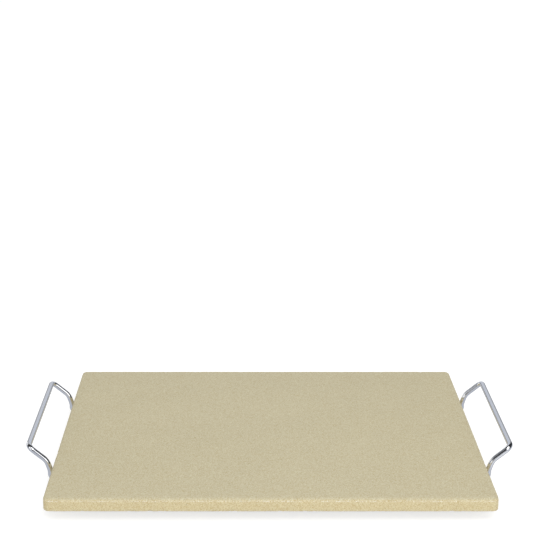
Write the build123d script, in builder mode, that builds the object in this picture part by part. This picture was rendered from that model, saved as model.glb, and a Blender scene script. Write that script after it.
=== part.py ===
from build123d import *
import os

# A rectangular baking stone that lies loose on a welded wire rack with a carrying handle at each end.
# +X runs along the stone, -Y is its front and +Z is up. The origin is on the table, under the middle
# of the stone. Two U-shaped handle wires meet end to end under the stone, and three cross wires are
# welded beneath them: the rack stands on those, and the stone lifts straight up off the rack.

# The stone: a pressed slab with rounded corners, its lower edge sharper than its upper one
stone_length = 380.0
stone_depth = 300.0
stone_thickness = 12.0
stone_corner_radius = 5.5
stone_top_edge_radius = 2.5
stone_bottom_edge_radius = 1.0

# The wire of the whole rack, and how far two crossing wires sink into each other when welded
wire_diameter = 5.0
weld_set_down = 0.5

# Room between the stone and the wires that carry it, and those that stand at its ends
seat_clearance = 0.3
end_clearance = 0.3

# A handle: its width between wire centres, then how far its corners stand out from the stone's end
# face and how high they are above the stone's underside
handle_width = 156.0
upright_height = 4.6
shoulder_reach = 5.8
shoulder_height = 14.0
grip_reach = 21.5
grip_height = 27.2

# Bend radii of the wire's centre line, above the bend that goes round the stone's lower edge
upright_bend_radius = 12.0
shoulder_bend_radius = 12.0
grip_bend_radius = 5.5

# The cross wires under the stone: one in the middle, and one out to each side of it
cross_wire_length = 240.0
cross_wire_pitch = 130.0
cross_wire_end_chamfer = 0.6

# Heights above the table, worked up from the cross wires that the rack stands on
wire_radius = wire_diameter / 2
cross_wire_z = wire_radius
rail_z = cross_wire_z + wire_diameter - weld_set_down
stone_bottom_z = rail_z + wire_radius + seat_clearance

# The handle wire's corners along X, and where its two rails lie
stone_end_x = stone_length / 2
upright_x = stone_end_x + end_clearance + wire_radius
shoulder_x = stone_end_x + shoulder_reach
grip_x = stone_end_x + grip_reach
rail_y = handle_width / 2

# The lowest bend follows the stone's rounded lower edge at the clearance of its end face
foot_bend_radius = stone_bottom_edge_radius + end_clearance + wire_radius


def make_stone():
    """The slab: a rounded rectangle with its upper and lower edges rounded."""
    with BuildPart() as stone:
        with BuildSketch(Plane.XY.offset(stone_bottom_z)):
            RectangleRounded(stone_length, stone_depth, stone_corner_radius)
        extrude(amount=stone_thickness)
        fillet(stone.faces().sort_by(Axis.Z)[-1].edges(), radius=stone_top_edge_radius)
        fillet(stone.faces().sort_by(Axis.Z)[0].edges(), radius=stone_bottom_edge_radius)
    return stone


def make_handle_wire(side):
    """One end of the rack: a rail under the stone, up and out to the grip, and back as the other rail.

    side is 1 at the +X end and -1 at the -X end. The two wires meet face to face at X = 0.
    """
    corners = [
        (0, rail_z),
        (upright_x, rail_z),
        (upright_x, stone_bottom_z + upright_height),
        (shoulder_x, stone_bottom_z + shoulder_height),
        (grip_x, stone_bottom_z + grip_height),
    ]
    front = [(side * x, -rail_y, z) for x, z in corners]
    back = [(side * x, rail_y, z) for x, z in reversed(corners)]
    bends = [foot_bend_radius, upright_bend_radius, shoulder_bend_radius, grip_bend_radius]
    with BuildPart() as handle_wire:
        with BuildLine() as route:
            FilletPolyline(*front, *back, radius=bends + bends[::-1])
        with BuildSketch(Plane(origin=front[0], z_dir=(side, 0, 0))):
            Circle(wire_radius)
        sweep(path=route.wire())
    return handle_wire


def make_cross_wire(x):
    """One straight wire under both rails, its cut ends chamfered."""
    with BuildPart() as cross_wire:
        with BuildSketch(Plane.XZ.offset(-cross_wire_length / 2)):
            with Locations((x, cross_wire_z)):
                Circle(wire_radius)
        extrude(amount=cross_wire_length)
        cut_ends = cross_wire.faces().filter_by(GeomType.PLANE)
        chamfer(cut_ends.edges(), length=cross_wire_end_chamfer)
    return cross_wire


def write_part(piece, name):
    """Labels one finished piece and writes it as its own file."""
    piece.part.label = name
    export_step(piece.part, f"parts/{name}.step")


os.makedirs("parts", exist_ok=True)
write_part(make_stone(), "stone")
write_part(make_handle_wire(-1), "left_handle_wire")
write_part(make_handle_wire(1), "right_handle_wire")
write_part(make_cross_wire(-cross_wire_pitch), "left_cross_wire")
write_part(make_cross_wire(0), "centre_cross_wire")
write_part(make_cross_wire(cross_wire_pitch), "right_cross_wire")
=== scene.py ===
import bpy
import math
import random
from mathutils import Matrix, Vector, noise


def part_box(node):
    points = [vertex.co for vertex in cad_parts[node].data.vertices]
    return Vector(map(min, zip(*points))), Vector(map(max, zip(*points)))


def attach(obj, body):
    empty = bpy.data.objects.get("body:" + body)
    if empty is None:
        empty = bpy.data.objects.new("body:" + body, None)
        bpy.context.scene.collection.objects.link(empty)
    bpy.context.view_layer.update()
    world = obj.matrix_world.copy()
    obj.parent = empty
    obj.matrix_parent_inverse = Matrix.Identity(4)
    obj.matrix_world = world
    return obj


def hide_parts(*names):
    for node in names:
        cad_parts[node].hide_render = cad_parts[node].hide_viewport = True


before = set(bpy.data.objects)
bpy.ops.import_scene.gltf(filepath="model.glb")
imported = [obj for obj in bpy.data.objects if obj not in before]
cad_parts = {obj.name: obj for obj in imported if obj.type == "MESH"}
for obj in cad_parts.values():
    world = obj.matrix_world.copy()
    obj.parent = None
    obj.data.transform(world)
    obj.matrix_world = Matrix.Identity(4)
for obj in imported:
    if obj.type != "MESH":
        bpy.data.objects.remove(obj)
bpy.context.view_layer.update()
mm = 0.001

stoneLow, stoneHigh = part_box("stone")
wireLow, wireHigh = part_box("right_handle_wire")
footLow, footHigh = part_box("centre_cross_wire")
wireRadius = (footHigh.z - footLow.z) / 2
print("frame loaded,", len(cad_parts), "nodes; stone", [round(v / mm, 1) for v in stoneHigh - stoneLow])


# Small helpers that every piece uses
def meshObject(name, verts, faces, material, body, replaced=()):
    mesh = bpy.data.meshes.new(name)
    mesh.from_pydata(verts, [], faces)
    mesh.validate()
    mesh.materials.append(material)
    for face in mesh.polygons:
        face.use_smooth = True
    piece = bpy.data.objects.new(name, mesh)
    bpy.context.collection.objects.link(piece)
    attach(piece, body)
    if replaced:
        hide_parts(*replaced)
    return piece


def paintVerts(piece, name, values):
    # one number per vertex, which a material reads with an Attribute node
    layer = piece.data.attributes.new(name, "FLOAT", "POINT")
    layer.data.foreach_set("value", values)


def smoothStep(low, high, value):
    t = min(max((value - low) / (high - low), 0), 1)
    return t * t * (3 - 2 * t)


def ringFaces(rings, sides):
    # quads between rings of vertices that follow one another
    faces = []
    for i in range(rings - 1):
        for k in range(sides):
            n = (k + 1) % sides
            faces.append((i * sides + k, i * sides + n, (i + 1) * sides + n, (i + 1) * sides + k))
    return faces


def tubeFaces(rings, sides):
    # the same, closed by one face at each end
    ends = [tuple(range(sides))[::-1], tuple((rings - 1) * sides + k for k in range(sides))]
    return ringFaces(rings, sides) + ends


# Shader helpers
def addNode(tree, kind, x, y, **settings):
    node = tree.nodes.new(kind)
    node.location = (x, y)
    for key, value in settings.items():
        setattr(node, key, value)
    return node


def setInputs(node, **values):
    for key, value in values.items():
        node.inputs[key.replace("_", " ")].default_value = value
    return node


def plug(tree, socket, value):
    # a number or a colour is set, and another node's output is linked
    if isinstance(value, (int, float, tuple)):
        socket.default_value = value
    else:
        tree.links.new(value, socket)


def mathNode(tree, operation, x, y, a, b=None, clamp=False):
    node = addNode(tree, "ShaderNodeMath", x, y, operation=operation, use_clamp=clamp)
    plug(tree, node.inputs[0], a)
    if b is not None:
        plug(tree, node.inputs[1], b)
    return node.outputs[0]


def mixColor(tree, x, y, factor, a, b, blend="MIX"):
    node = addNode(tree, "ShaderNodeMix", x, y, data_type="RGBA", blend_type=blend)
    plug(tree, node.inputs[0], factor)
    plug(tree, node.inputs[6], a)
    plug(tree, node.inputs[7], b)
    return node.outputs[2]


def mapRange(tree, x, y, value, fromLow, fromHigh, toLow=0.0, toHigh=1.0):
    node = addNode(tree, "ShaderNodeMapRange", x, y, interpolation_type="SMOOTHSTEP")
    setInputs(node, From_Min=fromLow, From_Max=fromHigh, To_Min=toLow, To_Max=toHigh)
    plug(tree, node.inputs["Value"], value)
    return node.outputs[0]


def newGroup(name, inputs, outputs):
    group = bpy.data.node_groups.new(name, "ShaderNodeTree")
    for label, kind, value in inputs:
        socket = group.interface.new_socket(name=label, in_out="INPUT", socket_type=kind)
        if value is not None:
            socket.default_value = value
    for label, kind in outputs:
        group.interface.new_socket(name=label, in_out="OUTPUT", socket_type=kind)
    return group, addNode(group, "NodeGroupInput", -900, 0), addNode(group, "NodeGroupOutput", 900, 0)


def useGroup(tree, group, x, y, vector, **values):
    node = addNode(tree, "ShaderNodeGroup", x, y, node_tree=group)
    tree.links.new(vector, node.inputs["Vector"])
    return setInputs(node, **values)


def newMaterial(name):
    material = bpy.data.materials.new(name)
    material.use_nodes = True
    tree = material.node_tree
    return material, tree, tree.nodes["Principled BSDF"]


def inMillimetres(tree, x, y):
    # the piece's own coordinates, which the frame keeps in metres
    place = addNode(tree, "ShaderNodeTexCoord", x, y)
    scaled = addNode(tree, "ShaderNodeVectorMath", x + 180, y, operation="SCALE")
    scaled.inputs["Scale"].default_value = 1 / mm
    tree.links.new(place.outputs["Object"], scaled.inputs[0])
    return scaled.outputs[0]


# Packed grains: each has its own tint, about 0 either way, and a share of them are marked as specks.
# A finer noise pushes each place about, so that the grains have ragged outlines
grainEdge = {"fineness": 1.7, "detail": 2.0, "roughness": 0.65, "reach": 1.1}


def grainGroup(s):
    group, groupIn, groupOut = newGroup(
        "grains",
        [("Vector", "NodeSocketVector", None), ("Size", "NodeSocketFloat", 1.0),
         ("Share", "NodeSocketFloat", 0.02), ("Softness", "NodeSocketFloat", 0.1)],
        [("Tint", "NodeSocketFloat"), ("Speck", "NodeSocketFloat"), ("Chance", "NodeSocketFloat"),
         ("Distance", "NodeSocketFloat")])
    links = group.links
    scale = mathNode(group, "DIVIDE", -700, -120, 1.0, groupIn.outputs["Size"])
    noiseScale = mathNode(group, "MULTIPLY", -900, -300, scale, s["fineness"])
    push = addNode(group, "ShaderNodeTexNoise", -800, 300, noise_dimensions="3D")
    setInputs(push, Detail=s["detail"], Roughness=s["roughness"])
    links.new(groupIn.outputs["Vector"], push.inputs["Vector"])
    links.new(noiseScale, push.inputs["Scale"])
    centred = addNode(group, "ShaderNodeVectorMath", -600, 300, operation="SUBTRACT")
    centred.inputs[1].default_value = (0.5, 0.5, 0.5)
    links.new(push.outputs["Color"], centred.inputs[0])
    reach = mathNode(group, "MULTIPLY", -700, -450, groupIn.outputs["Size"], s["reach"])
    pushed = addNode(group, "ShaderNodeVectorMath", -440, 300, operation="SCALE")
    links.new(centred.outputs[0], pushed.inputs[0])
    links.new(reach, pushed.inputs["Scale"])
    place = addNode(group, "ShaderNodeVectorMath", -280, 300, operation="ADD")
    links.new(groupIn.outputs["Vector"], place.inputs[0])
    links.new(pushed.outputs[0], place.inputs[1])
    cells = addNode(group, "ShaderNodeTexVoronoi", -500, 0, feature="F1", voronoi_dimensions="3D")
    links.new(place.outputs[0], cells.inputs["Vector"])
    links.new(scale, cells.inputs["Scale"])
    split = addNode(group, "ShaderNodeSeparateColor", -300, 0)
    links.new(cells.outputs["Color"], split.inputs[0])
    # three even chances added up are nearly a bell curve about 1.5
    both = mathNode(group, "ADD", -100, 250, split.outputs[0], split.outputs[1])
    summed = mathNode(group, "ADD", 80, 250, both, split.outputs[2])
    tint = mathNode(group, "SUBTRACT", 260, 250, summed, 1.5)
    chosen = mathNode(group, "LESS_THAN", -100, 0, split.outputs[0], groupIn.outputs["Share"])
    edge = mathNode(group, "SUBTRACT", -100, -200, 0.5, groupIn.outputs["Softness"])
    near = mapRange(group, 100, -150, cells.outputs["Distance"], 0.5, 0.0)
    links.new(edge, near.node.inputs["From Max"])
    speck = mathNode(group, "MULTIPLY", 350, 0, chosen, near)
    links.new(tint, groupOut.inputs["Tint"])
    links.new(speck, groupOut.inputs["Speck"])
    links.new(split.outputs[1], groupOut.inputs["Chance"])
    links.new(cells.outputs["Distance"], groupOut.inputs["Distance"])
    return group


# Uneven patches, from a soft noise: the middle is 0 and it runs about 1 either way
mottleCloud = {"roughness": 0.6, "spread": 4.0}


def mottleGroup(s):
    group, groupIn, groupOut = newGroup(
        "mottle",
        [("Vector", "NodeSocketVector", None), ("Size", "NodeSocketFloat", 10.0),
         ("Detail", "NodeSocketFloat", 3.0)],
        [("Value", "NodeSocketFloat")])
    scale = mathNode(group, "DIVIDE", -700, -120, 1.0, groupIn.outputs["Size"])
    cloud = addNode(group, "ShaderNodeTexNoise", -450, 0, noise_dimensions="3D")
    cloud.inputs["Roughness"].default_value = s["roughness"]
    group.links.new(groupIn.outputs["Vector"], cloud.inputs["Vector"])
    group.links.new(scale, cloud.inputs["Scale"])
    group.links.new(groupIn.outputs["Detail"], cloud.inputs["Detail"])
    centred = mathNode(group, "SUBTRACT", -200, 0, cloud.outputs[0], 0.5)
    spread = mathNode(group, "MULTIPLY", 0, 0, centred, s["spread"])
    group.links.new(spread, groupOut.inputs["Value"])
    return group


grains = grainGroup(grainEdge)
mottle = mottleGroup(mottleCloud)
print("node groups ready")


# The fired cordierite: buff, fine grained and dry. Its faces that look up and down are painted greyer, as
# painted sheen, and its sides brighter and yellower, as painted light from the front.
# Grain, patch, speck and pore sizes are in millimetres
stoneFinish = {
    # face and side are one buff in two tones: painted sheen on the faces, painted light from the front on the
    # sides
    "face": (0.557, 0.496, 0.325, 1),
    "side": (0.646, 0.549, 0.324, 1),
    "deepTint": (0.84, 0.77, 0.64, 1),
    "paleTint": (1.16, 1.23, 1.36, 1),
    # the pale worn grain is partly wear and partly a painted highlight along the arrises
    "wornHighlightGrain": (0.86, 0.85, 0.79, 1),
    "paleGrain": (0.74, 0.70, 0.55, 1),
    "darkGrain": (0.30, 0.23, 0.13, 1),
    "coarseGrain": 0.62,
    "coarseContrast": 0.45,
    "fineGrain": 0.38,
    "fineContrast": 0.32,
    "dust": 0.3,
    "dustContrast": 0.12,
    "broadPatch": 55.0,
    "middlePatch": 7.0,
    "patchContrast": 0.016,
    "paleShare": 0.012,
    "grainSoftness": 0.2,
    "darkSize": 1.3,
    "darkShare": 0.012,
    "darkSoftness": 0.25,
    "darkStrength": 0.5,
    "poreSize": 1.7,
    "poreShare": 0.10,
    "poreSoftness": 0.3,
    "poreDepth": 0.9,
    "coarseLift": 0.7,
    "fineLift": 0.35,
    "reliefStrength": 0.55,
    "reliefDepth": 0.12 * mm,
    "paintedLightTurn": (0.15, 0.75),
    "wearAndHighlight": 1.0,
    "wornHighlightChance": (0.5, 0.8),
    "roughness": 0.72,
    "roughSpread": 0.05,
    "specular": 0.35,
}


def grainTone(tree, x, y, place, s, color):
    # two sizes of grain, each grain paler or deeper than the rest, and a dust over them
    coarse = useGroup(tree, grains, x, y, place, Size=s["coarseGrain"], Share=s["paleShare"],
                      Softness=s["grainSoftness"])
    fine = useGroup(tree, grains, x, y - 220, place, Size=s["fineGrain"])
    tone = mathNode(tree, "MULTIPLY", x + 200, y, coarse.outputs["Tint"], s["coarseContrast"])
    fineTone = mathNode(tree, "MULTIPLY", x + 200, y - 220, fine.outputs["Tint"], s["fineContrast"])
    dust = useGroup(tree, mottle, x, y - 440, place, Size=s["dust"], Detail=2.0)
    dustTone = mathNode(tree, "MULTIPLY", x + 200, y - 440, dust.outputs[0], s["dustContrast"])
    total = mathNode(tree, "ADD", x + 380, y, tone, fineTone)
    total = mathNode(tree, "ADD", x + 460, y - 220, total, dustTone)
    total = mathNode(tree, "ADD", x + 540, y, total, 0.5, clamp=True)
    tint = mixColor(tree, x + 700, y, total, s["deepTint"], s["paleTint"])
    return coarse, fine, mixColor(tree, x + 880, y + 300, 1.0, color, tint, "MULTIPLY")


def stoneMaterial(s):
    material, tree, shader = newMaterial("cordierite")
    links = tree.links
    place = inMillimetres(tree, -2200, 0)

    # the faces that look up and down take the greyer face colour, a painted sheen, and the rest takes the
    # side colour, painted light from the front
    normal = addNode(tree, "ShaderNodeNewGeometry", -2000, 700)
    turn = addNode(tree, "ShaderNodeVectorTransform", -1820, 700, vector_type="NORMAL",
                   convert_from="WORLD", convert_to="OBJECT")
    links.new(normal.outputs["Normal"], turn.inputs[0])
    height = addNode(tree, "ShaderNodeSeparateXYZ", -1640, 700)
    links.new(turn.outputs[0], height.inputs[0])
    level = mathNode(tree, "ABSOLUTE", -1460, 700, height.outputs[2])
    paintedLightMask = mapRange(tree, -1280, 700, level, *s["paintedLightTurn"])
    color = mixColor(tree, -1100, 700, paintedLightMask, s["side"], s["face"])

    # broad and middling patches, then grain by grain
    broad = useGroup(tree, mottle, -1800, 200, place, Size=s["broadPatch"], Detail=3.0)
    middling = useGroup(tree, mottle, -1800, 0, place, Size=s["middlePatch"], Detail=4.0)
    broadTone = mathNode(tree, "MULTIPLY", -1600, 200, broad.outputs[0], s["patchContrast"])
    middlingTone = mathNode(tree, "MULTIPLY", -1600, 0, middling.outputs[0], s["patchContrast"])
    total = mathNode(tree, "ADD", -1400, 100, broadTone, middlingTone)
    bright = mathNode(tree, "ADD", -1240, 100, total, 1.0)
    asColor = addNode(tree, "ShaderNodeCombineColor", -1080, 100)
    for socket in asColor.inputs:
        links.new(bright, socket)
    color = mixColor(tree, -900, 600, 1.0, color, asColor.outputs[0], "MULTIPLY")
    coarse, fine, color = grainTone(tree, -1600, -300, place, s, color)

    # worn arrises show scattered pale grains, partly wear and partly a painted highlight along the arris
    wearAndHighlight = addNode(tree, "ShaderNodeAttribute", -600, 300, attribute_name="edgeWearHighlight")
    chance = mapRange(tree, -600, 100, coarse.outputs["Chance"], *s["wornHighlightChance"])
    wornAndHighlit = mathNode(tree, "MULTIPLY", -400, 200, wearAndHighlight.outputs["Fac"], chance)
    wornAndHighlit = mathNode(tree, "MULTIPLY", -240, 200, wornAndHighlit, s["wearAndHighlight"])
    color = mixColor(tree, -80, 500, wornAndHighlit, color, s["wornHighlightGrain"])

    # single pale and dark grains
    color = mixColor(tree, 120, 500, coarse.outputs["Speck"], color, s["paleGrain"])
    dark = useGroup(tree, grains, -400, -150, place, Size=s["darkSize"], Share=s["darkShare"],
                    Softness=s["darkSoftness"])
    darkShare = mathNode(tree, "MULTIPLY", -200, -150, dark.outputs["Speck"], s["darkStrength"])
    color = mixColor(tree, 320, 500, darkShare, color, s["darkGrain"])
    links.new(color, shader.inputs["Base Color"])

    rough = mathNode(tree, "MULTIPLY", 120, 100, fine.outputs["Tint"], s["roughSpread"])
    rough = mathNode(tree, "ADD", 320, 100, rough, s["roughness"])
    links.new(rough, shader.inputs["Roughness"])

    # grains stand up and small pores sink in
    pores = useGroup(tree, grains, -400, -450, place, Size=s["poreSize"], Share=s["poreShare"],
                     Softness=s["poreSoftness"])
    pore = mathNode(tree, "MULTIPLY", -200, -450, pores.outputs["Speck"], -s["poreDepth"])
    lift = mathNode(tree, "MULTIPLY", -200, -620, coarse.outputs["Distance"], -s["coarseLift"])
    relief = mathNode(tree, "ADD", 0, -500, pore, lift)
    fineLift = mathNode(tree, "MULTIPLY", -200, -780, fine.outputs["Distance"], -s["fineLift"])
    relief = mathNode(tree, "ADD", 180, -550, relief, fineLift)
    bump = addNode(tree, "ShaderNodeBump", 360, -450)
    setInputs(bump, Strength=s["reliefStrength"], Distance=s["reliefDepth"])
    links.new(relief, bump.inputs["Height"])
    links.new(bump.outputs[0], shader.inputs["Normal"])
    setInputs(shader, Specular_IOR_Level=s["specular"])
    shader.location = (600, 300)
    return material


# Bright chrome over drawn wire, duller where it was welded
wireFinish = {
    "color": (0.86, 0.87, 0.89, 1),
    "weldColor": (0.62, 0.61, 0.58, 1),
    "roughness": 0.05,
    "hazeSize": 14.0,
    "hazeRough": 0.015,
    "rippleSize": 3.0,
    "rippleStrength": 0.25,
    "rippleDepth": 0.02 * mm,
    "dustSize": 1.6,
    "dustShare": 0.01,
    "dustSoftness": 0.3,
    "dustRough": 0.22,
    "weldRough": 0.16,
    "weldStain": 0.3,
}


def chromeMaterial(s):
    material, tree, shader = newMaterial("brightChrome")
    links = tree.links
    place = inMillimetres(tree, -1500, 0)
    haze = useGroup(tree, mottle, -900, 200, place, Size=s["hazeSize"], Detail=3.0)
    ripple = useGroup(tree, mottle, -900, 0, place, Size=s["rippleSize"], Detail=2.0)
    dust = useGroup(tree, grains, -900, -250, place, Size=s["dustSize"], Share=s["dustShare"],
                    Softness=s["dustSoftness"])
    weld = addNode(tree, "ShaderNodeAttribute", -900, -450, attribute_name="weld")

    rough = mathNode(tree, "MULTIPLY", -650, 200, haze.outputs[0], s["hazeRough"])
    rough = mathNode(tree, "ADD", -480, 200, rough, s["roughness"])
    dusty = mathNode(tree, "MULTIPLY", -650, -250, dust.outputs["Speck"], s["dustRough"])
    welded = mathNode(tree, "MULTIPLY", -650, -450, weld.outputs["Fac"], s["weldRough"])
    rough = mathNode(tree, "ADD", -320, 150, rough, dusty)
    rough = mathNode(tree, "ADD", -160, 100, rough, welded, clamp=True)
    links.new(rough, shader.inputs["Roughness"])

    dull = mathNode(tree, "MULTIPLY", -480, -450, weld.outputs["Fac"], s["weldStain"])
    links.new(mixColor(tree, -160, 400, dull, s["color"], s["weldColor"]), shader.inputs["Base Color"])

    bump = addNode(tree, "ShaderNodeBump", 0, -200)
    setInputs(bump, Strength=s["rippleStrength"], Distance=s["rippleDepth"])
    links.new(ripple.outputs[0], bump.inputs["Height"])
    links.new(bump.outputs[0], shader.inputs["Normal"])
    setInputs(shader, Metallic=1.0)
    shader.location = (300, 200)
    return material


cordierite = stoneMaterial(stoneFinish)
brightChrome = chromeMaterial(wireFinish)
print("materials ready")


# The stone: fine mesh round its edges, where it is rough and nicked, and coarser on its flat faces.
# Each pitch is how many waves of a noise there are in a millimetre
stoneShape = {
    "cornerRadius": 5.5 * mm,
    "cornerShare": 0.6,
    "topRadius": 2.5 * mm,
    "bottomRadius": 1.0 * mm,
    "cellsAlong": 115,
    "cellsAcross": 90,
    "cornerCells": 4,
    "fineness": 5,
    "sideRings": 10,
    "roundRings": 6,
    "rimRings": (0.7 * mm, 1.6 * mm, 2.8 * mm),
    "rimWidth": 5.4 * mm,
    "grainDepth": 0.07 * mm,
    "grainPitch": (0.9, 1.9),
    "grainMix": (0.6, 0.4),
    "waveDepth": 0.12 * mm,
    "wavePitch": (0.03, 0.09),
    "waveMix": (0.5, 0.3),
    "flatWave": 0.35,
    "crumbDepth": 0.17 * mm,
    "crumbPitch": 0.35,
    "crumbRange": (0.15, 0.6),
    "crumbSlopes": (0.25, 0.97),
    "wearHighlightWidth": 0.8 * mm,
    "lowerWearHighlight": 0.35,
    "wearHighlightPitch": (0.5, 1.7),
    "wearHighlightMix": (0.72, 0.5, 0.3),
    "nickDepth": 0.55 * mm,
    "nicks": 90,
    "upperNicks": 0.72,
    "nickSizes": (0.7 * mm, 2.2 * mm),
    "nickStrengths": (0.35, 1.0),
    "nickSink": 0.35,
    "bigNicks": 0.12,
    "bigNickGain": 1.6,
    "nickCell": 8 * mm,
    "seed": 11,
}


def outlinePoint(s, part, t, inset):
    # part 0 to 3 are the front, right, back and left sides, and 4 to 7 the corners after them
    roundInset = min(inset, s["cornerRadius"] * s["cornerShare"])
    extra = inset - roundInset
    flatX, flatY = stoneHigh.x - s["cornerRadius"] - extra, stoneHigh.y - s["cornerRadius"] - extra
    if part < 4:
        sides = ((-flatX + 2 * flatX * t, -stoneHigh.y + inset),
                 (stoneHigh.x - inset, -flatY + 2 * flatY * t),
                 (flatX - 2 * flatX * t, stoneHigh.y - inset),
                 (-stoneHigh.x + inset, flatY - 2 * flatY * t))
        return sides[part]
    corner = part - 4
    centreX, centreY = ((flatX, -flatY), (flatX, flatY), (-flatX, flatY), (-flatX, -flatY))[corner]
    angle = math.radians(-90 + 90 * corner + 90 * t)
    radius = s["cornerRadius"] - roundInset
    return centreX + radius * math.cos(angle), centreY + radius * math.sin(angle)


def outline(s, fine, inset):
    counts = [s["cellsAlong"], s["cellsAcross"]] * 2
    points = []
    for side in range(4):
        steps = counts[side] * fine
        points += [outlinePoint(s, side, i / steps, inset) for i in range(steps)]
        steps = s["cornerCells"] * fine
        points += [outlinePoint(s, side + 4, i / steps, inset) for i in range(steps)]
    return points


def roundedEdge(s, radius, faceZ, inward):
    # (inset, height, how much of the ring's roughness counts) from the face to the side
    widest = s["rimRings"][-1]
    rings = [(radius + extra, faceZ, 1 - extra / widest) for extra in reversed(s["rimRings"])]
    for i in range(s["roundRings"] + 1):
        angle = math.radians(90 * i / s["roundRings"])
        rings.append((radius * (1 - math.sin(angle)), faceZ + inward * radius * (1 - math.cos(angle)), 1))
    return rings


def profileRings(s):
    rings = roundedEdge(s, s["topRadius"], stoneHigh.z, -1)
    sideTop, sideBottom = stoneHigh.z - s["topRadius"], stoneLow.z + s["bottomRadius"]
    for i in range(1, s["sideRings"]):
        rings.append((0, sideTop + (sideBottom - sideTop) * i / s["sideRings"], 1))
    return rings + roundedEdge(s, s["bottomRadius"], stoneLow.z, 1)[::-1]


def gridSides(ring, s):
    # the four sides of a face's grid, each from the middle of one corner to the middle of the next
    nx, ny = s["cellsAlong"] + s["cornerCells"], s["cellsAcross"] + s["cornerCells"]
    start, count = -(s["cornerCells"] // 2), len(ring)
    front = [ring[(start + i) % count] for i in range(nx + 1)]
    right = [ring[(start + nx + i) % count] for i in range(ny + 1)]
    back = [ring[(start + nx + ny + nx - i) % count] for i in range(nx + 1)]
    left = [ring[(start - i) % count] for i in range(ny + 1)]
    return nx, ny, front, right, back, left


def faceGrid(verts, ring, s, z, flip, faces):
    nx, ny, front, right, back, left = gridSides(ring, s)
    grid = {}
    for i in range(nx + 1):
        grid[i, 0], grid[i, ny] = front[i], back[i]
    for j in range(ny + 1):
        grid[0, j], grid[nx, j] = left[j], right[j]
    edge = {key: Vector(verts[index]) for key, index in grid.items()}
    for i in range(1, nx):
        for j in range(1, ny):
            u, v = i / nx, j / ny
            point = (edge[i, 0] * (1 - v) + edge[i, ny] * v + edge[0, j] * (1 - u) + edge[nx, j] * u
                     - edge[0, 0] * (1 - u) * (1 - v) - edge[nx, 0] * u * (1 - v)
                     - edge[0, ny] * (1 - u) * v - edge[nx, ny] * u * v)
            grid[i, j] = len(verts)
            verts.append((point.x, point.y, z))
    for i in range(nx):
        for j in range(ny):
            face = (grid[i, j], grid[i + 1, j], grid[i + 1, j + 1], grid[i, j + 1])
            faces.append(face[::-1] if flip else face)


def zipRings(fineRing, coarseRing, fine, flip, faces):
    # joins each coarse edge to the fine edges that it spans
    middle = fine // 2 + 1
    for i in range(len(coarseRing)):
        a, b = coarseRing[i], coarseRing[(i + 1) % len(coarseRing)]
        run = [fineRing[(i * fine + k) % len(fineRing)] for k in range(fine + 1)]
        made = [(run[k], run[k + 1], a) for k in range(middle)]
        made.append((run[middle], b, a))
        made += [(run[k], run[k + 1], b) for k in range(middle, fine)]
        faces += [tri[::-1] if flip else tri for tri in made]


def scatterNicks(s):
    # small chips along the arrises, filed by the square of the plan that they are near
    rng = random.Random(s["seed"])
    filed = {}
    for _ in range(s["nicks"]):
        sign = rng.choice((-1, 1))
        upper = rng.random() < s["upperNicks"]
        radius = s["topRadius"] if upper else s["bottomRadius"]
        depth = radius * s["nickSink"]
        if rng.random() < stoneHigh.x / (stoneHigh.x + stoneHigh.y):
            x, y = rng.uniform(-stoneHigh.x, stoneHigh.x), sign * (stoneHigh.y - depth)
        else:
            x, y = sign * (stoneHigh.x - depth), rng.uniform(-stoneHigh.y, stoneHigh.y)
        z = stoneHigh.z - depth if upper else stoneLow.z + depth
        size = rng.uniform(*s["nickSizes"]) * (s["bigNickGain"] if rng.random() < s["bigNicks"] else 1)
        nick = (Vector((x, y, z)), size, rng.uniform(*s["nickStrengths"]))
        column, row = int(x // s["nickCell"]), int(y // s["nickCell"])
        for i in (-1, 0, 1):
            for j in (-1, 0, 1):
                filed.setdefault((column + i, row + j), []).append(nick)
    return filed


def outwards(s, point):
    # the direction away from the slab's inner core, which its rounded edges are struck from
    upper = point.z > (stoneHigh.z + stoneLow.z) / 2
    radius = s["topRadius"] if upper else s["bottomRadius"]
    flatX, flatY = stoneHigh.x - s["cornerRadius"], stoneHigh.y - s["cornerRadius"]
    x, y = min(max(point.x, -flatX), flatX), min(max(point.y, -flatY), flatY)
    side = Vector((point.x - x, point.y - y, 0))
    if side.length > s["cornerRadius"] - radius:
        side *= (s["cornerRadius"] - radius) / side.length
    coreZ = min(max(point.z, stoneLow.z + s["bottomRadius"]), stoneHigh.z - s["topRadius"])
    out = point - Vector((x, y, coreZ)) - side
    return out.normalized() if out.length > 1e-7 else Vector((0, 0, 1 if upper else -1))


def nickDepthAt(s, filed, point):
    depth = 0
    square = (int(point.x // s["nickCell"]), int(point.y // s["nickCell"]))
    for centre, size, strength in filed.get(square, ()):
        gap = (point - centre).length
        if gap < size:
            fullSize = min(size / s["nickSizes"][1], 1)
            depth += s["nickDepth"] * strength * (1 - (gap / size) ** 2) * fullSize
    return depth


def stoneMesh(s):
    # the slab before it wears, with each vertex's share of its ring's roughness, or None on a flat face
    verts, faces, shares, ringIds = [], [], [], []
    fine = s["fineness"]
    for inset, z, share in profileRings(s):
        ring = outline(s, fine, inset)
        ringIds.append(list(range(len(verts), len(verts) + len(ring))))
        verts += [(x, y, z) for x, y in ring]
        shares += [share] * len(ring)
    for upper, lower in zip(ringIds, ringIds[1:]):
        for i in range(len(upper)):
            j = (i + 1) % len(upper)
            faces.append((upper[i], lower[i], lower[j], upper[j]))
    for z, radius, ring, flip in ((stoneHigh.z, s["topRadius"], ringIds[0], False),
                                  (stoneLow.z, s["bottomRadius"], ringIds[-1], True)):
        coarse = outline(s, 1, radius + s["rimWidth"])
        ids = list(range(len(verts), len(verts) + len(coarse)))
        verts += [(x, y, z) for x, y in coarse]
        zipRings(ring, ids, fine, flip, faces)
        faceGrid(verts, ids, s, z, flip, faces)
    return verts, faces, shares + [None] * (len(verts) - len(shares))


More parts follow.
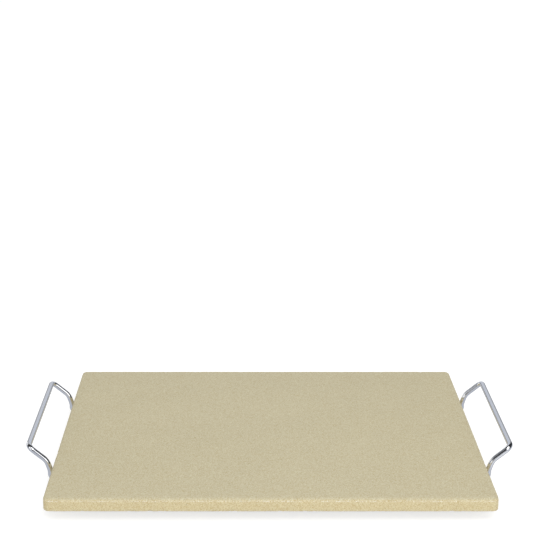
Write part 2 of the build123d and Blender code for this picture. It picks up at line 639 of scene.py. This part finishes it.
def wornDepth(s, filed, point, out, share):
    # each noise is read from a place of its own, so that none repeats another
    spot = point / mm
    (longPitch, shortPitch), (longShare, shortShare) = s["wavePitch"], s["waveMix"]
    wave = 0.5 + longShare * noise.noise(spot * longPitch + Vector((3, 7, 1)))
    wave += shortShare * noise.noise(spot * shortPitch)
    if share is None:
        return s["waveDepth"] * wave * s["flatWave"]
    (coarsePitch, finePitch), (coarseShare, fineShare) = s["grainPitch"], s["grainMix"]
    grain = coarseShare * noise.noise(spot * coarsePitch)
    grain += fineShare * noise.noise(spot * finePitch + Vector((9, 2, 5)))
    depth = s["waveDepth"] * wave + s["grainDepth"] * (grain + 1) * share
    steepest, flattest = s["crumbSlopes"]
    if steepest < abs(out.z) < flattest:
        crumb = noise.noise(spot * s["crumbPitch"] + Vector((21, 4, 8)))
        depth += s["crumbDepth"] * smoothStep(*s["crumbRange"], crumb)
    return depth + nickDepthAt(s, filed, point) * share


def edgeWearHighlightAt(s, point):
    # a pale line, partly wear and partly a painted highlight, runs along the arris where a rounded edge meets
    # the side, and less so below
    upper = point.z > (stoneHigh.z + stoneLow.z) / 2
    arris = stoneHigh.z - s["topRadius"] if upper else stoneLow.z + s["bottomRadius"]
    rim = (1 - smoothStep(0, s["wearHighlightWidth"], abs(point.z - arris))) * (1 if upper else s["lowerWearHighlight"])
    (widePitch, smallPitch), (even, wide, small) = s["wearHighlightPitch"], s["wearHighlightMix"]
    spot = point / mm
    patch = even + wide * noise.noise(spot * widePitch) + small * noise.noise(spot * smallPitch)
    return max(0.0, min(1.0, rim * patch))


def makeStone(s):
    # the surface only ever wears inwards, so the stone stays inside its nominal size
    verts, faces, shares = stoneMesh(s)
    filed = scatterNicks(s)
    moved, wearAndHighlight = [], []
    for co, share in zip(verts, shares):
        point = Vector(co)
        out = outwards(s, point)
        moved.append(tuple(point - out * wornDepth(s, filed, point, out, share)))
        wearAndHighlight.append(edgeWearHighlightAt(s, point))
    piece = meshObject("stone_slab", moved, faces, cordierite, "stone", ["stone"])
    paintVerts(piece, "edgeWearHighlight", wearAndHighlight)
    return piece


stoneSlab = makeStone(stoneShape)
print("stone slab,", len(stoneSlab.data.polygons), "faces")


# The handle wires: bends and corners as they were formed, and the rest read off their boxes
wireShape = {
    "railZ": wireLow.z + wireRadius,
    "railY": wireHigh.y - wireRadius,
    "endClearance": 0.3 * mm,
    "uprightHeight": 4.6 * mm,
    "shoulderReach": 5.8 * mm,
    "shoulderHeight": 14.0 * mm,
    "gripX": wireHigh.x - wireRadius,
    "gripZ": wireHigh.z - wireRadius,
    "bends": (3.8 * mm, 12 * mm, 12 * mm, 5.5 * mm),
    "bendStep": 0.4 * mm,
    "straightStep": 3 * mm,
    "sides": 32,
    "flatten": 0.06,
    "plateSkin": 0.015 * mm,
    "buttRings": 12,
    "buttStep": 0.35 * mm,
    "buttBulge": 0.45 * mm,
    "buttWidth": 1.1 * mm,
    "buttLump": 0.25,
    "lumpPitch": 0.8,
    "uneven": 0.012 * mm,
    "unevenPitch": 0.05,
}


def bentRoute(corners, bends, straightStep, bendStep):
    # straight runs joined by tangent arcs, as (place, direction, how much it bends, towards the inside)
    corners = [Vector(corner) for corner in corners]
    route = []
    last = corners[0]
    for before, here, after, radius in zip(corners, corners[1:], corners[2:], bends):
        incoming, outgoing = (here - before).normalized(), (after - here).normalized()
        turn = incoming.angle(outgoing)
        reach = radius * math.tan(turn / 2)
        start = here - incoming * reach
        centre = here + (outgoing - incoming).normalized() * (radius / math.cos(turn / 2))
        steps = max(1, round((start - last).length / straightStep))
        route += [(last.lerp(start, k / steps), incoming, 0.0, Vector()) for k in range(steps)]
        axis = incoming.cross(outgoing).normalized()
        steps = max(4, round(turn * radius / bendStep))
        for k in range(steps):
            swing = Matrix.Rotation(turn * k / steps, 3, axis)
            spoke = swing @ (start - centre)
            eased = math.sin(math.pi * k / steps) ** 0.5
            route.append((centre + spoke, swing @ incoming, eased, -spoke.normalized()))
        last = here + outgoing * reach
    end = corners[-1]
    direction = (end - last).normalized()
    steps = max(1, round((end - last).length / straightStep))
    return route + [(last.lerp(end, k / steps), direction, 0.0, Vector()) for k in range(steps + 1)]


def closerAtButt(s, route):
    # the first and last few millimetres get closer rings, for the bead of the butt weld there
    reach = s["buttStep"] * s["buttRings"]
    front, back = route[0], route[-1]
    lead = [(front[0] + front[1] * s["buttStep"] * k, *front[1:]) for k in range(s["buttRings"])]
    tail = [(back[0] - back[1] * s["buttStep"] * k, *back[1:]) for k in range(s["buttRings"])]
    return lead + [row for row in route if abs(row[0].x) > reach] + tail[::-1]


def sweepWire(name, route, s, radiusAt, replaced):
    verts, welds = [], []
    sides = s["sides"]
    across = Vector((0, 1, 0))
    for place, direction, bent, inward in route:
        across = (across - direction * across.dot(direction)).normalized()
        beside = direction.cross(across)
        radius, weld = radiusAt(place)
        for k in range(sides):
            angle = 2 * math.pi * k / sides
            spoke = across * math.cos(angle) + beside * math.sin(angle)
            # a bend flattens the wire a little on its outside
            size = radius * (1 - s["flatten"] * bent * max(0, -spoke.dot(inward)) ** 2)
            verts.append(tuple(place + spoke * size))
            welds.append(weld)
    piece = meshObject(name, verts, tubeFaces(len(route), sides), brightChrome, "rack", replaced)
    paintVerts(piece, "weld", welds)
    return piece


def makeHandle(s, side):
    underside = stoneLow.z
    uprightX = stoneHigh.x + s["endClearance"] + wireRadius
    profile = [(0, s["railZ"]), (uprightX, s["railZ"]), (uprightX, underside + s["uprightHeight"]),
               (stoneHigh.x + s["shoulderReach"], underside + s["shoulderHeight"]), (s["gripX"], s["gripZ"])]
    corners = [(side * x, -s["railY"], z) for x, z in profile]
    corners += [(side * x, s["railY"], z) for x, z in reversed(profile)]
    route = bentRoute(corners, s["bends"] + s["bends"][::-1], s["straightStep"], s["bendStep"])

    def radiusAt(place):
        bulge = math.exp(-(place.x / s["buttWidth"]) ** 2) if place.z < underside else 0
        lump = 1 + s["buttLump"] * noise.noise(place / mm * s["lumpPitch"])
        uneven = s["uneven"] * noise.noise(place / mm * s["unevenPitch"])
        return wireRadius - s["plateSkin"] + uneven + s["buttBulge"] * bulge * lump, bulge

    name = "right" if side > 0 else "left"
    return sweepWire(name + "_handle", closerAtButt(s, route), s, radiusAt, [name + "_handle_wire"])


handles = [makeHandle(wireShape, side) for side in (-1, 1)]
print("handle wires,", [len(h.data.polygons) for h in handles], "faces")


# The cross wires: sheared lengths, their cut ends eased and a little dished
crossShape = {
    "endEase": 0.6 * mm,
    "easeRings": 5,
    "dish": 0.12 * mm,
    "dishRim": 0.4,
    "dishShares": (0.36, 0.56),
    "step": 3 * mm,
    "sides": 32,
    "plateSkin": 0.012 * mm,
    "uneven": 0.01 * mm,
    "unevenPitch": 0.05,
    "unevenTurn": 0.7,
    "heatWidth": 2.5 * mm,
}


def barEnd(s, half):
    # (how far along, radius) from the middle of one cut end to where the wire is full size
    inner, outer = s["dishShares"]
    rings = [(s["dish"] - half, wireRadius * inner), (s["dish"] * s["dishRim"] - half, wireRadius * outer)]
    for i in range(s["easeRings"] + 1):
        angle = math.radians(90 - 90 * i / s["easeRings"])
        along = s["endEase"] * (1 - math.sin(angle))
        rings.append((along - half, wireRadius - s["endEase"] * (1 - math.cos(angle))))
    return rings


def makeCrossWire(s, node):
    low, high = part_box(node)
    x, z = (low.x + high.x) / 2, (low.z + high.z) / 2
    start = barEnd(s, high.y)
    full = high.y - s["endEase"]
    steps = round(2 * full / s["step"])
    rings = start + [(2 * full * k / steps - full, wireRadius) for k in range(1, steps)]
    rings += [(-along, radius) for along, radius in reversed(start)]
    verts, sides = [], s["sides"]
    for along, radius in rings:
        for k in range(sides):
            angle = 2 * math.pi * k / sides
            spot = Vector((k * s["unevenTurn"], along / mm * s["unevenPitch"], x / mm))
            size = radius - s["plateSkin"] + s["uneven"] * noise.noise(spot)
            verts.append((x - size * math.cos(angle), along, z + size * math.sin(angle)))
    name = node.replace("_wire", "_bar")
    piece = meshObject(name, verts, tubeFaces(len(rings), sides), brightChrome, "rack", [node])
    heat = [math.exp(-((abs(v[1]) - wireShape["railY"]) / s["heatWidth"]) ** 2) for v in verts]
    paintVerts(piece, "weld", heat)
    return piece


crossNodes = ("left_cross_wire", "centre_cross_wire", "right_cross_wire")
crossBars = [makeCrossWire(crossShape, node) for node in crossNodes]
print("cross wires,", len(crossBars))


# Metal squeezed out round each weld, where a rail lies across a cross wire
weldShape = {
    "reach": 2.0 * mm,
    "waist": 0.22 * mm,
    "sides": 40,
    "rows": 9,
    "sink": 0.35 * mm,
    "lump": 0.16,
    "lumpTurn": 1.7,
}


def makeWeld(s, name, x, y):
    verts, sides = [], s["sides"]
    for row in range(s["rows"]):
        t = row / (s["rows"] - 1)
        for k in range(sides):
            angle = 2 * math.pi * k / sides
            cosine, sine = math.cos(angle), math.sin(angle)
            spot = Vector((cosine * s["lumpTurn"], sine * s["lumpTurn"], x / mm + y / mm))
            reach = s["reach"] * (1 + s["lump"] * noise.noise(spot))
            bottom = wireRadius + math.sqrt(wireRadius ** 2 - (reach * cosine) ** 2) - s["sink"]
            top = wireShape["railZ"] - math.sqrt(wireRadius ** 2 - (reach * sine) ** 2) + s["sink"]
            # the bead necks in between the two wires
            reach -= s["waist"] * math.sin(math.pi * t)
            verts.append((x + reach * cosine, y + reach * sine, bottom + (top - bottom) * t))
    faces = ringFaces(s["rows"], sides)
    for row, flip in ((0, True), (s["rows"] - 1, False)):
        ring = [row * sides + k for k in range(sides)]
        hub = len(verts)
        verts.append((x, y, sum(verts[i][2] for i in ring) / sides))
        for k in range(sides):
            tri = (ring[k], ring[(k + 1) % sides], hub)
            faces.append(tri[::-1] if flip else tri)
    piece = meshObject(name, verts, faces, brightChrome, "rack")
    paintVerts(piece, "weld", [1.0] * len(verts))
    return piece


welds = []
for node in crossNodes:
    low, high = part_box(node)
    for side, where in ((-1, "front"), (1, "back")):
        name = node.split("_")[0] + "_" + where + "_weld"
        welds.append(makeWeld(weldShape, name, (low.x + high.x) / 2, side * wireShape["railY"]))
print("welds,", len(welds))


# The studio: a white floor, even air and one large soft lamp before the object, a little to its right
studio = {
    "floorSize": 30.0,
    "floorColor": (0.78, 0.78, 0.78, 1),
    "floorSeen": (0.42, 0.42, 0.42, 1),
    "floorLift": 0.72,
    "floorRough": 0.9,
    "ambient": 0.72,
    "keyPower": 19.0,
    "keySize": 1.7,
    "keyDistance": 2.0,
    "keyElevation": 46,
    "keyAzimuth": 14,
}


def seenDirectly(tree, x, y):
    # 1 for what the camera, metal and glass see, and 0 for what lights the object
    path = addNode(tree, "ShaderNodeLightPath", x, y)
    seen = mathNode(tree, "MAXIMUM", x + 200, y, path.outputs["Is Camera Ray"], path.outputs["Is Glossy Ray"])
    return mathNode(tree, "MAXIMUM", x + 400, y, seen, path.outputs["Is Transmission Ray"])


def makeWorld(s):
    world = bpy.data.worlds.new("studioAir")
    bpy.context.scene.world = world
    world.use_nodes = True
    tree = world.node_tree
    background = tree.nodes["Background"]
    background.inputs["Color"].default_value = (1, 1, 1, 1)
    seen = seenDirectly(tree, -900, 0)
    gain = mathNode(tree, "MULTIPLY", -300, 0, seen, 1 - s["ambient"])
    tree.links.new(mathNode(tree, "ADD", -150, 0, gain, s["ambient"]), background.inputs["Strength"])


def makeFloor(s):
    half = s["floorSize"] / 2
    mesh = bpy.data.meshes.new("floor")
    corners = [(-half, -half, 0), (half, -half, 0), (half, half, 0), (-half, half, 0)]
    mesh.from_pydata(corners, [], [(0, 1, 2, 3)])
    floor = bpy.data.objects.new("floor", mesh)
    bpy.context.collection.objects.link(floor)
    material, tree, shader = newMaterial("floorWhite")
    setInputs(shader, Roughness=s["floorRough"], Specular_IOR_Level=0.0)
    seen = seenDirectly(tree, -900, -300)
    floorTone = mixColor(tree, -250, 0, seen, s["floorColor"], s["floorSeen"])
    tree.links.new(floorTone, shader.inputs["Base Color"])
    glow = addNode(tree, "ShaderNodeEmission", 0, -300)
    tree.links.new(mathNode(tree, "MULTIPLY", -250, -300, seen, s["floorLift"]), glow.inputs["Strength"])
    both = addNode(tree, "ShaderNodeAddShader", 350, 0)
    tree.links.new(shader.outputs[0], both.inputs[0])
    tree.links.new(glow.outputs[0], both.inputs[1])
    tree.links.new(both.outputs[0], tree.nodes["Material Output"].inputs["Surface"])
    mesh.materials.append(material)


def makeKeyLight(s):
    lamp = bpy.data.lights.new("key", "AREA")
    lamp.shape = "DISK"
    lamp.size = s["keySize"]
    lamp.energy = s["keyPower"]
    key = bpy.data.objects.new("key", lamp)
    bpy.context.collection.objects.link(key)
    elevation, azimuth = math.radians(s["keyElevation"]), math.radians(s["keyAzimuth"])
    towards = Vector((math.sin(azimuth) * math.cos(elevation), -math.cos(azimuth) * math.cos(elevation),
                      math.sin(elevation)))
    key.location = towards * s["keyDistance"]
    key.rotation_euler = towards.to_track_quat("Z", "Y").to_euler()


# What the chrome mirrors. Cards stand round the table: azimuth 0 is behind the object and 90 to its right
cards = {
    "backCard": {"azimuth": (-24, 24), "elevation": (0, 66), "color": (0.58, 0.606, 0.664, 1)},
    "rightGrey": {"azimuth": (25, 41), "elevation": (0, 66), "color": (0.28, 0.285, 0.30, 1)},
    "rightFlag": {"azimuth": (42, 128), "elevation": (0, 76), "color": (0.035, 0.037, 0.041, 1)},
    "frontCard": {"azimuth": (150, 203), "elevation": (0, 34), "color": (0.36, 0.365, 0.38, 1)},
    "leftSoftbox": {"azimuth": (204, 222), "elevation": (2, 13), "color": (1.20, 1.20, 1.22, 1)},
    "leftFlag": {"azimuth": (203, 231), "elevation": (13.5, 52), "color": (0.012, 0.012, 0.014, 1)},
    "leftWall": {"azimuth": (232, 281), "elevation": (0, 52), "color": (0.17, 0.175, 0.19, 1)},
    "leftGrey": {"azimuth": (322, 335), "elevation": (0, 52), "color": (0.37, 0.375, 0.39, 1)},
    "leftWindow": {"azimuth": (282, 321), "elevation": (3, 25), "color": (1.00, 1.00, 1.02, 1)},
    "leftHigh": {"azimuth": (282, 321), "elevation": (26, 52), "color": (0.36, 0.37, 0.39, 1)},
    "highFlag": {"azimuth": (205, 315), "elevation": (53, 80), "color": (0.012, 0.012, 0.014, 1)},
}
cardDistance = 1.6
cardStep = 6  # degrees between a card's folds

# Flat panels, from one corner along two sides: the table, boards near the object and a ceiling.
# The boards close to a handle are for one of its slopes alone, so they are one sided
panels = {
    "tablePanel": {"corner": (-1.6, -1.6, 0.2 * mm), "along": (3.2, 0, 0), "up": (0, 3.2, 0),
                   "color": (0.50, 0.52, 0.575, 1)},
    "sideBoard": {"corner": (0.33, -0.29, 0.10), "along": (0.01, -0.81, 0), "up": (0, 0, 0.63),
                  "color": (1.40, 1.40, 1.42, 1)},
    "leftBoard": {"corner": (-0.30, -0.27, 0.08), "along": (-0.32, -0.03, 0), "up": (0, 0, 0.25),
                  "color": (1.20, 1.20, 1.22, 1)},
    "leftDark": {"corner": (-0.45, -0.15, 0.07), "along": (0, 0.14, 0), "up": (0, 0, 0.28),
                 "color": (0.02, 0.02, 0.022, 1)},
    "rearStrip": {"corner": (-0.13, 0.60, 0.03), "along": (0.26, 0, 0), "up": (0, 0, 0.08),
                  "color": (0.12, 0.12, 0.13, 1)},
    "cameraStand": {"corner": (-0.39, -1.185, 0), "along": (0.38, 0, 0), "up": (0, 0, 0.66),
                    "color": (0.015, 0.015, 0.017, 1)},
    "frontFlag": {"corner": (-0.01, -1.10, 0), "along": (0.21, 0, 0), "up": (0, 0, 0.80),
                  "color": (0.10, 0.10, 0.105, 1)},
    "lampFlag": {"corner": (-0.46, -1.10, 0.66), "along": (0.40, 0, 0), "up": (0, 0, 1.0),
                 "color": (0.14, 0.14, 0.145, 1)},
    "lampHood": {"corner": (-0.70, -1.10, 1.66), "along": (1.90, 0, 0), "up": (0, 0.50, 1.20),
                 "color": (0.16, 0.16, 0.165, 1)},
    "floorGlow": {"corner": (0.21, -0.17, 0.4 * mm), "along": (0.05, 0, 0), "up": (0, 0.075, 0),
                  "color": (0.85, 0.86, 0.88, 1)},
    "rightRearBoard": {"corner": (0.18, 0, 0.075), "along": (-0.13, 0, 0), "up": (0, 0, 0.105),
                       "color": (0.60, 0.615, 0.64, 1), "oneSided": True},
    "rightRearStrip": {"corner": (0.18, 0, 0.035), "along": (-0.05, 0, 0), "up": (0, 0, 0.04),
                       "color": (0.30, 0.305, 0.315, 1), "oneSided": True},
    "leftRearBoard": {"corner": (0.02, 0, 0.052), "along": (-0.185, 0, 0), "up": (0, 0, 0.168),
                      "color": (1.60, 1.61, 1.62, 1), "oneSided": True},
    "rightFrontStrip": {"corner": (0.21, -0.35, 0), "along": (-0.09, 0, 0), "up": (0, 0, 0.048),
                        "color": (0.72, 0.735, 0.76, 1), "oneSided": True},
    "rightFrontFlag": {"corner": (0.10, -0.06, 0.09), "along": (0, 0.07, 0), "up": (0, 0, 0.07),
                       "color": (0.17, 0.175, 0.19, 1), "oneSided": True},
    "leftFrontFlag": {"corner": (-0.10, -0.09, 0.09), "along": (0, -0.06, 0), "up": (0, 0, 0.07),
                      "color": (0.05, 0.051, 0.054, 1), "oneSided": True},
    "ceiling": {"corner": (-1.1, -1.1, 3.0), "along": (2.2, 0, 0), "up": (0, 2.2, 0),
                "color": (0.02, 0.02, 0.02, 1)},
}


def mirrorOnly(name, verts, faces, color, oneSided=False):
    mesh = bpy.data.meshes.new(name)
    mesh.from_pydata(verts, [], faces)
    card = bpy.data.objects.new(name, mesh)
    bpy.context.collection.objects.link(card)
    card.visible_camera = card.visible_diffuse = card.visible_shadow = False
    card.visible_transmission = card.visible_volume_scatter = False
    material, tree, shader = newMaterial(name)
    tree.nodes.remove(shader)
    glow = addNode(tree, "ShaderNodeEmission", 0, 0)
    glow.inputs["Color"].default_value = color
    surface = glow.outputs[0]
    if oneSided:
        # nothing is seen of it from behind
        facing = addNode(tree, "ShaderNodeNewGeometry", -200, 200)
        clear = addNode(tree, "ShaderNodeBsdfTransparent", 0, -150)
        both = addNode(tree, "ShaderNodeMixShader", 200, 0)
        tree.links.new(facing.outputs["Backfacing"], both.inputs[0])
        tree.links.new(surface, both.inputs[1])
        tree.links.new(clear.outputs[0], both.inputs[2])
        surface = both.outputs[0]
    tree.links.new(surface, tree.nodes["Material Output"].inputs["Surface"])
    mesh.materials.append(material)


def makeCards(table, distance):
    for name, card in table.items():
        (fromAzimuth, toAzimuth), (low, high) = card["azimuth"], card["elevation"]
        steps = max(2, round((toAzimuth - fromAzimuth) / cardStep))
        verts, faces = [], []
        for i in range(steps + 1):
            azimuth = math.radians(fromAzimuth + (toAzimuth - fromAzimuth) * i / steps)
            for elevation in (low, high):
                z = distance * math.tan(math.radians(elevation))
                verts.append((distance * math.sin(azimuth), distance * math.cos(azimuth), z))
        for i in range(steps):
            faces.append((2 * i, 2 * i + 2, 2 * i + 3, 2 * i + 1))
        mirrorOnly(name, verts, faces, card["color"])


def makePanels(table):
    for name, panel in table.items():
        corner, along, up = (Vector(panel[key]) for key in ("corner", "along", "up"))
        verts = [tuple(v) for v in (corner, corner + along, corner + along + up, corner + up)]
        mirrorOnly(name, verts, [(0, 1, 2, 3)], panel["color"], panel.get("oneSided", False))


makeWorld(studio)
makeFloor(studio)
makeKeyLight(studio)
makeCards(cards, cardDistance)
makePanels(panels)
print("studio ready")


# The camera stands a little left of the middle and looks straight along the stone's depth, tilted down
cameraSettings = {
    "place": (-21.1 * mm, -1187.7 * mm, 515.1 * mm + stoneLow.z),
    "pitch": 16.4,
    "focal": 91.46,
    "sensor": 36,
    "shift": 0.0454,
    "clip": (0.05, 60),
}


def makeCamera(s):
    data = bpy.data.cameras.new("camera")
    data.lens, data.sensor_width = s["focal"], s["sensor"]
    data.shift_x = s["shift"]
    data.clip_start, data.clip_end = s["clip"]
    camera = bpy.data.objects.new("camera", data)
    bpy.context.collection.objects.link(camera)
    camera.location = s["place"]
    camera.rotation_euler = (math.radians(90 - s["pitch"]), 0, 0)
    bpy.context.scene.camera = camera


makeCamera(cameraSettings)
bpy.context.scene.view_settings.view_transform = "Standard"

print("scene complete")
